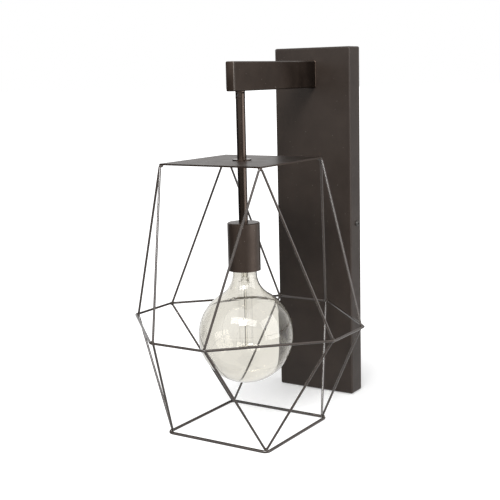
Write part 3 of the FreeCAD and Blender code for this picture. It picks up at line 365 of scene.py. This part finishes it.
def plainCoat(name, colour, rough):
    material, tree, shader = newMaterial(name)
    grain = noise(tree, plainLook["grain"], detail=3.0)
    patches = noise(tree, plainLook["patches"], detail=3.0)
    tone = mixColours(tree, patches, shaded(colour, plainLook["dark"]), shaded(colour, plainLook["pale"]))
    link(tree, tone, shader.inputs["Base Color"])
    gloss = spread(tree, grain, rough * plainLook["smoothest"], rough * plainLook["roughest"])
    link(tree, gloss, shader.inputs["Roughness"])
    relief(tree, shader, [(grain, plainLook["depth"], plainLook["strength"])])
    return material


for family, maker in ((metals, plainMetal), (plains, plainCoat)):
    for name, values in family.items():
        materials[name] = maker(name, values["colour"], values["rough"])
        paint(materials[name], values["nodes"])
print("small materials done")


# glass of the bulb, faintly warm, with a slow ripple
glass = {
    "bulbTint": (0.955, 0.936, 0.885),
    "mountTint": (0.97, 0.96, 0.93),
    "ior": 1.46,
    "rippleScale": 25.0,
    "rippleDepth": 0.2 * mm,
    "rippleStrength": 0.15,
}


def clearGlass(name, tint):
    material, tree, shader = newMaterial(name)
    shader.inputs["Base Color"].default_value = (*tint, 1)
    shader.inputs["Roughness"].default_value = 0.0
    shader.inputs["IOR"].default_value = glass["ior"]
    shader.inputs["Transmission Weight"].default_value = 1.0
    ripple = noise(tree, glass["rippleScale"], detail=1.0)
    relief(tree, shader, [(ripple, glass["rippleDepth"], glass["rippleStrength"])])
    return material


paint(clearGlass("BulbGlass", glass["bulbTint"]), ["bulb_glass"])
paint(clearGlass("MountGlass", glass["mountTint"]), ["bulb_mount"])
print("glass done")


# helpers for modelled pieces
sharpAngle = radians(40)  # edges that turn by more are shaded sharp


def meshPiece(name, builder, material, slotName, *replaced):
    bmesh.ops.recalc_face_normals(builder, faces=builder.faces)
    mesh = bpy.data.meshes.new(name)
    builder.to_mesh(mesh)
    builder.free()
    mesh.materials.append(material)
    mesh.shade_smooth()
    mesh.set_sharp_from_angle(angle=sharpAngle)
    piece = bpy.data.objects.new(name, mesh)
    bpy.context.scene.collection.objects.link(piece)
    if replaced:
        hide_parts(*replaced)
    return piece


def finishPiece(name, builder, material, body, slotName, *replaced):
    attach(meshPiece(name, builder, material, slotName, *replaced), body)


def onlyVerts(items):
    return [item for item in items if isinstance(item, bmesh.types.BMVert)]


def onlyEdges(items):
    return [item for item in items if isinstance(item, bmesh.types.BMEdge)]


def everything(builder):
    return builder.verts[:] + builder.edges[:] + builder.faces[:]


# an outline is drawn by pulling one point along, in straight lines and arcs
def drawLine(builder, point, step):
    grown = bmesh.ops.extrude_vert_indiv(builder, verts=[point])
    bmesh.ops.translate(builder, verts=grown["verts"], vec=step)
    return grown["verts"][0]


def drawArc(builder, point, centre, angle, steps):
    swept = bmesh.ops.spin(builder, geom=[point], cent=centre, axis=(0, 1, 0), angle=angle, steps=steps)
    return onlyVerts(swept["geom_last"])[0]


# a tube grows from its open rim; each move is a straight run, an angle to turn and the radius of the bend
def walkTube(builder, edges, place, heading, axis, moves, bendSteps=6):
    for run, angle, bend in moves:
        grown = bmesh.ops.extrude_edge_only(builder, edges=edges)
        front = onlyVerts(grown["geom"])
        bmesh.ops.translate(builder, verts=front, vec=heading * run)
        edges = [edge for edge in onlyEdges(grown["geom"]) if all(vert in front for vert in edge.verts)]
        place = place + heading * run
        centre = place + axis.cross(heading) * bend
        swept = bmesh.ops.spin(builder, geom=edges, cent=centre, axis=axis, angle=angle, steps=bendSteps)
        edges = onlyEdges(swept["geom_last"])
        turn = Matrix.Rotation(angle, 3, axis)
        place = centre + turn @ (place - centre)
        heading = turn @ heading


# end cap of the arm: softened front edges that catch the light
endCap = {
    "plate": 2.0 * mm,
    "corner": 2.0 * mm,
    "cornerSteps": 5,
    "softFront": 0.55 * mm,
    "softBack": 0.25 * mm,
    "softSteps": 3,
    "wall": 1.6 * mm,
}


def roundOff(builder, edges, offset, steps):
    bmesh.ops.bevel(builder, geom=edges, offset=offset, segments=steps, affect="EDGES", profile=0.5,
                    material=-1)


def makeEndCap():
    low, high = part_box("arm_end_cap")
    backY = low.y + endCap["plate"]
    size = Vector((high.x - low.x, endCap["plate"], high.z - low.z))
    middle = Vector((0, low.y + endCap["plate"] / 2, (low.z + high.z) / 2))
    builder = bmesh.new()
    place = Matrix.Translation(middle) @ Matrix.Diagonal((*size, 1))
    bmesh.ops.create_cube(builder, size=1.0, matrix=place)
    long = [edge for edge in builder.edges if abs(edge.verts[0].co.y - edge.verts[1].co.y) > mm]
    roundOff(builder, long, endCap["corner"], endCap["cornerSteps"])
    for y, soft in ((low.y, endCap["softFront"]), (backY, endCap["softBack"])):
        rim = [edge for edge in builder.edges if all(abs(vert.co.y - y) < hair for vert in edge.verts)]
        roundOff(builder, rim, soft, endCap["softSteps"])
    # the large face at the back carries the plug that goes into the tube
    rear = max(builder.faces, key=lambda face: (round(face.calc_center_median().y, 6), face.calc_area()))
    bmesh.ops.inset_region(builder, faces=[rear], thickness=endCap["wall"] - endCap["softBack"])
    plug = bmesh.ops.extrude_discrete_faces(builder, faces=[rear])["faces"]
    bmesh.ops.translate(builder, verts=plug[0].verts, vec=(0, high.y - backY, 0))
    finishPiece("arm_end_plate", builder, materials["EndCoat"], "wall_fixture", "powder_coat", "arm_end_cap")


# bead of weld round the arm, where it meets the face of the box
armWeld = {"bead": 0.8 * mm, "sides": 10, "corner": 2.0 * mm, "stand": 0.2 * mm, "lump": 0.25 * mm}


def makeArmWeld():
    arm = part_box("arm_tube")
    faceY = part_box("back_box")[0].y
    reach = arm[1].x + armWeld["stand"]
    corner = armWeld["corner"] + armWeld["stand"]
    across = 2 * (reach - corner)
    upright = arm[1].z - arm[0].z - 2 * armWeld["corner"]
    start = Vector((reach, faceY, arm[0].z + armWeld["corner"]))
    place = Matrix.Translation(start)
    builder = bmesh.new()
    bmesh.ops.create_circle(builder, segments=armWeld["sides"], radius=armWeld["bead"], matrix=place)
    moves = [(upright, pi / 2, corner), (across, pi / 2, corner)] * 2
    walkTube(builder, builder.edges[:], start, Vector((0, 0, 1)), Vector((0, -1, 0)), moves)
    bmesh.ops.remove_doubles(builder, verts=builder.verts, dist=hair)
    for vert in builder.verts:
        vert.co.y += armWeld["lump"] * lumps(vert.co / mm)
    finishPiece("arm_weld_bead", builder, materials["SheetCoat"], "wall_fixture", "powder_coat")


# welds of the cage: a small uneven pad at each corner where wires meet
cage = {
    "ringWire": 3.2 * mm,
    "ringShortHalf": 39.2 * mm,  # half of a side of the ring that is square to x or y
    "ringSeat": 2.0 * mm,  # from a corner of the ring inwards to the wires that touch it
    "baseWire": 4.0 * mm,
    "topInset": 1.9 * mm,  # from the sides of the plate
    "baseInset": 2.9 * mm,  # from the middle of the base's wires
    "topPad": (2.7 * mm, 2.7 * mm, 2.0 * mm),
    "ringPad": (2.3 * mm, 2.3 * mm, 2.5 * mm),
    "basePad": (2.6 * mm, 2.6 * mm, 2.4 * mm),
    "padDetail": 3,
    "lump": 0.22,
}


def weldPad(builder, place, size):
    shape = Matrix.Translation(place) @ Matrix.Diagonal((*size, 1))
    pad = bmesh.ops.create_icosphere(builder, subdivisions=cage["padDetail"], radius=1.0, matrix=shape)
    for vert in pad["verts"]:
        vert.co += (vert.co - place) * cage["lump"] * lumps(vert.co / mm)


def makeCageWelds():
    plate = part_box("cage_plate")
    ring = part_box("cage_ring")
    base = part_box("cage_base")
    middle = Vector(((plate[0].x + plate[1].x) / 2, (plate[0].y + plate[1].y) / 2, 0))
    ringHalf = (ring[1].x - ring[0].x - cage["ringWire"]) / 2
    ringZ = (ring[0].z + ring[1].z) / 2
    ringIn = ringHalf - cage["ringSeat"] * cos(pi / 8)
    ringSide = cage["ringShortHalf"] - cage["ringSeat"] * sin(pi / 8)
    topIn = (plate[1].x - plate[0].x) / 2 - cage["topInset"]
    topZ = plate[0].z - cage["topPad"][2] / 2
    baseIn = (base[1].x - base[0].x - cage["baseWire"]) / 2 - cage["baseInset"]
    baseZ = (base[0].z + base[1].z) / 2 + cage["baseWire"] / 3  # on the upper side of the wire
    builder = bmesh.new()
    for quarter in range(4):
        turn = Matrix.Rotation(quarter * pi / 2, 3, "Z")
        weldPad(builder, middle + turn @ Vector((topIn, topIn, topZ)), cage["topPad"])
        weldPad(builder, middle + turn @ Vector((baseIn, baseIn, baseZ)), cage["basePad"])
        for side in (-ringSide, ringSide):
            weldPad(builder, middle + turn @ Vector((ringIn, side, ringZ)), cage["ringPad"])
    finishPiece("cage_weld_pads", builder, materials["CageCoat"], "pendant", "powder_coat")


# filament: fine strands up and down between the hooks, with a bead for the loop round each hook
strand = {
    "count": 16,
    "wire": 0.045 * mm,
    "sides": 6,
    "loop": 0.35 * mm,
    "loopSides": 8,
    "loopRings": 6,
    "inset": 0.15 * mm,
}


def makeFilament():
    low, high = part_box("filament")
    middle = Vector((bulbMiddle.x, bulbMiddle.y, 0))
    reach = (high.x - low.x) / 2 - strand["inset"]
    builder = bmesh.new()
    turns = []
    for step in range(strand["count"]):
        angle = 2 * pi * step / strand["count"]
        height = high.z if step % 2 == 0 else low.z
        turns.append(middle + Vector((reach * cos(angle), reach * sin(angle), height)))
    for one, other in zip(turns, turns[1:]):
        along = other - one
        place = Matrix.Translation((one + other) / 2) @ along.to_track_quat("Z", "Y").to_matrix().to_4x4()
        bmesh.ops.create_cone(builder, cap_ends=True, segments=strand["sides"], depth=along.length,
                              radius1=strand["wire"], radius2=strand["wire"], matrix=place)
        bmesh.ops.create_uvsphere(builder, u_segments=strand["loopSides"], v_segments=strand["loopRings"],
                                  radius=strand["loop"] / 2, matrix=Matrix.Translation(other))
    finishPiece("filament_strands", builder, materials["FilamentWire"], "bulb", "filament_metal", "filament")


# two wires sealed in the glass press, each ending in a curl that holds the filament
pressWires = {
    "wire": 0.32 * mm,
    "sides": 8,
    "apart": 4.6 * mm,
    "top": -30.0 * mm,
    "moves": [
        (19.5 * mm, radians(60), 1.1 * mm),
        (2.2 * mm, radians(210), 0.88 * mm),
        (1.2 * mm, radians(30), 1.1 * mm),
    ],
}


def makePressWires():
    builder = bmesh.new()
    for side in (-1, 1):
        start = Vector((bulbMiddle.x + side * pressWires["apart"] / 2, bulbMiddle.y, pressWires["top"]))
        place = Matrix.Translation(start)
        circle = bmesh.ops.create_circle(builder, segments=pressWires["sides"], radius=pressWires["wire"],
                                         matrix=place)
        edges = list({edge for vert in circle["verts"] for edge in vert.link_edges})
        walkTube(builder, edges, start, Vector((0, 0, -1)), Vector((0, -side, 0)), pressWires["moves"])
    bmesh.ops.remove_doubles(builder, verts=builder.verts, dist=hair)
    bmesh.ops.holes_fill(builder, edges=[edge for edge in builder.edges if edge.is_boundary])
    finishPiece("press_wires", builder, materials["FilamentWire"], "bulb", "filament_metal")


# screw cap of the bulb: a rolled thread between two plain collars
thread = {
    "pitch": 3.62 * mm,
    "depth": 0.42 * mm,
    "turns": 4.5,
    "steps": 48,
    "arcSteps": 8,
    "collar": 3.6 * mm,
    "shoulder": 1.4 * mm,
    "shoulderInset": 0.06 * mm,
    "lip": 2.4 * mm,
    "seam": 0.15 * mm,
    "collarSides": 64,
    "wall": 0.4 * mm,
    "sheet": 0.3 * mm,
}
capMiddle = Vector((bulbMiddle.x, bulbMiddle.y, 0))
capAxis = {"cent": capMiddle, "axis": (0, 0, 1)}


# one wave of the thread is drawn as two arcs and turned upwards, then cut level at foot and top
def rollThread(builder, crest, foot, top):
    half = 2 * atan2(2 * thread["depth"], thread["pitch"])  # so that an arc bulges by half the depth
    bend = thread["pitch"] / (4 * sin(half))
    start = capMiddle + Vector((crest - thread["depth"] / 2, 0, foot - thread["pitch"]))
    point = bmesh.ops.create_vert(builder, co=start)["vert"][0]
    inner = start + Vector((-bend * cos(half), 0, bend * sin(half)))
    point = drawArc(builder, point, inner, -2 * half, thread["arcSteps"])
    outer = point.co + Vector((bend * cos(half), 0, bend * sin(half)))
    drawArc(builder, point, outer, 2 * half, thread["arcSteps"])
    steps = int(thread["turns"] * thread["steps"]) + thread["steps"]  # one turn more, for the cuts
    bmesh.ops.spin(builder, geom=builder.edges[:], **capAxis, dvec=(0, 0, thread["pitch"] / thread["steps"]),
                   angle=2 * pi * steps / thread["steps"], steps=steps)
    bmesh.ops.remove_doubles(builder, verts=builder.verts, dist=hair)
    for z, away in ((foot, (0, 0, -1)), (top, (0, 0, 1))):
        bmesh.ops.bisect_plane(builder, geom=everything(builder), plane_co=(0, 0, z), plane_no=away,
                               clear_outer=True)


# a collar's outline is drawn from a radius and height and turned through the full circle
def turnCollar(builder, radius, height, moves):
    point = bmesh.ops.create_vert(builder, co=capMiddle + Vector((radius, 0, height)))["vert"][0]
    drawn = []
    for right, up in moves:
        before = point
        point = drawLine(builder, point, (right, 0, up))
        drawn.append(builder.edges.get((before, point)))
    bmesh.ops.spin(builder, geom=drawn, **capAxis, angle=2 * pi, steps=thread["collarSides"], use_merge=True)


# a narrow band joins the cut rim of the thread to the collar beside it
def closeSeam(builder, height):
    rims = [edge for edge in builder.edges if edge.is_boundary
            and all(abs(vert.co.z - height) < 2 * thread["seam"] for vert in edge.verts)]
    bmesh.ops.bridge_loops(builder, edges=rims)


def makeThread():
    low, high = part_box("bulb_cap")
    crest = (high.x - low.x) / 2
    foot = low.z + thread["collar"]
    top = foot + thread["turns"] * thread["pitch"]
    shoulderZ = top + thread["seam"] + thread["shoulder"] / 2
    lipRise = high.z - thread["wall"] - shoulderZ
    builder = bmesh.new()
    rollThread(builder, crest, foot, top)
    turnCollar(builder, crest - thread["wall"], low.z,
               [(thread["wall"], 0), (0, thread["collar"] - thread["seam"])])
    turnCollar(builder, crest - thread["shoulderInset"], top + thread["seam"],
               [(0, thread["shoulder"] / 2), (-thread["lip"], lipRise)])
    closeSeam(builder, foot)
    closeSeam(builder, top)
    bmesh.ops.remove_doubles(builder, verts=builder.verts, dist=hair / 2)
    bmesh.ops.recalc_face_normals(builder, faces=builder.faces)
    bmesh.ops.solidify(builder, geom=builder.faces[:], thickness=thread["sheet"])
    finishPiece("bulb_screw_cap", builder, materials["CapMetal"], "bulb", "cap_metal", "bulb_cap")


# the two leads inside the swivel, straight and cut into rings along their length
bendLeads = {"radius": 1.0 * mm, "sides": 16, "apart": 2.2 * mm, "rings": 16}


def makeBendLeads():
    low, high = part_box("pivot_leads")
    middle = (low + high) / 2
    builder = bmesh.new()
    for side in (-1, 1):
        place = Matrix.Translation(middle + Vector((side * bendLeads["apart"] / 2, 0, 0)))
        bmesh.ops.create_cone(builder, cap_ends=True, segments=bendLeads["sides"], depth=high.z - low.z,
                              radius1=bendLeads["radius"], radius2=bendLeads["radius"], matrix=place)
    for ring in range(1, bendLeads["rings"]):
        cut = low.lerp(high, ring / bendLeads["rings"])
        bmesh.ops.bisect_plane(builder, geom=everything(builder), plane_co=cut, plane_no=(0, 0, 1))
    piece = meshPiece("swivel_lead_pair", builder, materials["LeadSheath"], "lead_sheath", "pivot_leads")
    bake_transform(piece)


makeEndCap()
makeArmWeld()
makeBendLeads()
makeCageWelds()
makeFilament()
makePressWires()
makeThread()
print("modelled pieces done")


# the room as a gloss sees it: the way to each side, and its level over the cosine of the angle to it
room = {
    "behind": {"aim": (-0.543, 0.840, 0), "from": (0.55, 0.85), "to": (0.0, 0.85)},
    "right": {"aim": (0.9, 0.43, 0), "from": (0.35, 0.65), "to": (0.0, 1.0)},
    "left": {"aim": (-0.975, -0.223, 0), "from": (0.75, 0.9), "to": (1.0, 0.05)},
    "front": {"aim": (-0.3, -0.95, 0), "from": (0.1, 0.5), "to": (0.0, 1.0)},
}


# the left side is dark, so it takes its share away from the front
def roomSides(tree, direction):
    level = combineVectors(tree, "MULTIPLY", direction, (1, 1, 0))["Vector"]
    flat = combineVectors(tree, "NORMALIZE", level)["Vector"]
    behind, right, left, front = (
        ramp(tree, combineVectors(tree, "DOT_PRODUCT", flat, side["aim"])["Value"], side)
        for side in room.values()
    )
    return behind, right, product(tree, left, front)


def awayFrom(tree, point):
    away = combineVectors(tree, "SUBTRACT", objectPlace(tree), point)["Vector"]
    return away, combineVectors(tree, "LENGTH", away)["Value"]


# floor: in a gloss it is pale near the light, then dark, then grey far away; distances are in metres
floor = {
    "white": 0.93,
    "roughness": 0.9,
    "specular": 0.1,
    "half": 30.0,
    "below": 0.3 * mm,
    "lift": 1.45,
    "ownShare": {"from": (0.04, 0.34), "to": (0.25, 1.0)},
    "near": {"from": (0.25, 0.95), "to": (0.65, 0.05)},
    "far": {"from": (1.6, 10.0), "to": (0.05, 0.80)},
    "right": {"from": (4.0, 14.0), "to": (0.85, 0.4)},
}


def floorGlow(tree):
    away, reach = awayFrom(tree, (bulbMiddle.x, bulbMiddle.y, cadBox[0].z))
    near, far, rightPale = (ramp(tree, reach, floor[key]) for key in ("near", "far", "right"))
    behind, right, front = roomSides(tree, away)
    ahead = larger(tree, near, product(tree, far, front))
    return larger(tree, larger(tree, ahead, product(tree, right, rightPale)), behind)


def makeFloor():
    builder = bmesh.new()
    bmesh.ops.create_grid(builder, x_segments=1, y_segments=1, size=floor["half"])
    bmesh.ops.translate(builder, verts=builder.verts, vec=(0, 0, cadBox[0].z - floor["below"]))
    mesh = bpy.data.meshes.new("floor")
    builder.to_mesh(mesh)
    builder.free()
    ground = bpy.data.objects.new("floor", mesh)
    bpy.context.scene.collection.objects.link(ground)
    mesh.materials.append(floorMaterial())


# near the box the camera sees mostly the lit floor with its shadow, farther out the floor's own even light
def floorMaterial():
    material, tree, shader = newMaterial("PaleFloor")
    shader.inputs["Base Color"].default_value = (*[floor["white"]] * 3, 1)
    shader.inputs["Roughness"].default_value = floor["roughness"]
    shader.inputs["Specular IOR Level"].default_value = floor["specular"]
    ray = add(tree, "ShaderNodeLightPath")
    lit = add(tree, "ShaderNodeEmission")
    strength = choose(tree, ray.outputs["Is Glossy Ray"], floor["lift"], floorGlow(tree))
    link(tree, strength, lit.inputs["Strength"])
    seen = larger(tree, ray.outputs["Is Camera Ray"], ray.outputs["Is Transmission Ray"])
    reach = awayFrom(tree, (0, 0, cadBox[0].z))[1]
    share = choose(tree, seen, 0.0, ramp(tree, reach, floor["ownShare"]))
    share = choose(tree, ray.outputs["Is Glossy Ray"], share, 1.0)
    mix = add(tree, "ShaderNodeMixShader")
    link(tree, share, mix.inputs[0])
    link(tree, shader.outputs[0], mix.inputs[1])
    link(tree, lit.outputs[0], mix.inputs[2])
    link(tree, mix.outputs[0], tree.nodes["Material Output"].inputs["Surface"])
    return material


# world: white to the camera, plain and soft on the object, and brighter higher up in a gloss
backdrop = {
    "ambient": 0.30,
    "low": {"from": (0.0, 0.03), "to": (0.8, 1.4)},
    "high": {"from": (0.08, 0.35), "to": (0.0, 2.2)},
    "right": {"from": (0.0, 0.5), "to": (0.4, 0.8)},
}


def worldGlow(tree):
    direction = add(tree, "ShaderNodeTexCoord").outputs["Generated"]
    upward = splitAxes(tree, direction)["Z"]
    low, high, rightPale = (ramp(tree, upward, backdrop[key]) for key in ("low", "high", "right"))
    behind, right, front = roomSides(tree, direction)
    ahead = product(tree, larger(tree, low, high), front)
    return larger(tree, larger(tree, ahead, product(tree, right, rightPale)), behind)


def makeWorld():
    world = bpy.data.worlds.new("Studio")
    bpy.context.scene.world = world
    world.use_nodes = True
    tree = world.node_tree
    ray = add(tree, "ShaderNodeLightPath")
    seen = larger(tree, ray.outputs["Is Camera Ray"], ray.outputs["Is Transmission Ray"])
    soft = choose(tree, ray.outputs["Is Glossy Ray"], backdrop["ambient"], worldGlow(tree))
    back = tree.nodes["Background"]
    back.inputs["Color"].default_value = (1, 1, 1, 1)
    link(tree, choose(tree, seen, soft, 1.0), back.inputs["Strength"])


# each lamp stands at an azimuth and elevation seen from the bulb, turned about its beam, in degrees;
# power is in watts, sizes and the distance from the bulb in metres
lampAway = 1.7
lamps = {
    "strip": {"azimuth": 26, "elevation": 46, "turn": -7, "power": 11.0, "size": (1.9, 0.5)},
    "side": {"azimuth": 100, "elevation": 18, "turn": 0, "power": 14.5, "size": (1.4, 1.4)},
    "key": {"azimuth": 24, "elevation": 43, "turn": 0, "power": 17.0, "size": (0.5, 0.45)},
}


def areaLight(name, values):
    azimuth, elevation, turn = (radians(values[key]) for key in ("azimuth", "elevation", "turn"))
    level = cos(elevation)
    place = bulbMiddle + lampAway * Vector((sin(azimuth) * level, -cos(azimuth) * level, sin(elevation)))
    lamp = bpy.data.lights.new(name, "AREA")
    lamp.shape = "RECTANGLE"
    lamp.size, lamp.size_y = values["size"]
    lamp.energy = values["power"]
    holder = bpy.data.objects.new(name, lamp)
    bpy.context.scene.collection.objects.link(holder)
    holder.location = place
    aim = (bulbMiddle - place).to_track_quat("-Z", "Y").to_matrix()
    holder.rotation_euler = (aim @ Matrix.Rotation(turn, 3, "Z")).to_euler()


makeFloor()
makeWorld()
for name, values in lamps.items():
    areaLight(name, values)
print("light done")


# camera at the photograph's viewing angle: metres, degrees and a lens in millimetres
view = {
    "place": (0.71598, -1.30686, 0.21067),
    "yaw": 32.863,
    "pitch": 9.633,
    "roll": -1.392,
    "lens": 74.05,
    "sensor": 36,
}


def makeCamera():
    yaw, pitch, roll = (radians(view[key]) for key in ("yaw", "pitch", "roll"))
    right = Vector((cos(yaw), sin(yaw), 0))
    ahead = Vector((-sin(yaw) * cos(pitch), cos(yaw) * cos(pitch), -sin(pitch)))
    up = right.cross(ahead)
    across = cos(roll) * right + sin(roll) * up
    upward = cos(roll) * up - sin(roll) * right
    turn = Matrix((across, upward, -ahead)).transposed().to_4x4()
    lens = bpy.data.cameras.new("camera")
    lens.sensor_width = view["sensor"]
    lens.lens = view["lens"]
    camera = bpy.data.objects.new("camera", lens)
    bpy.context.scene.collection.objects.link(camera)
    camera.matrix_world = Matrix.Translation(view["place"]) @ turn
    bpy.context.scene.camera = camera


makeCamera()
bpy.context.scene.view_settings.view_transform = "Standard"
print("camera done")
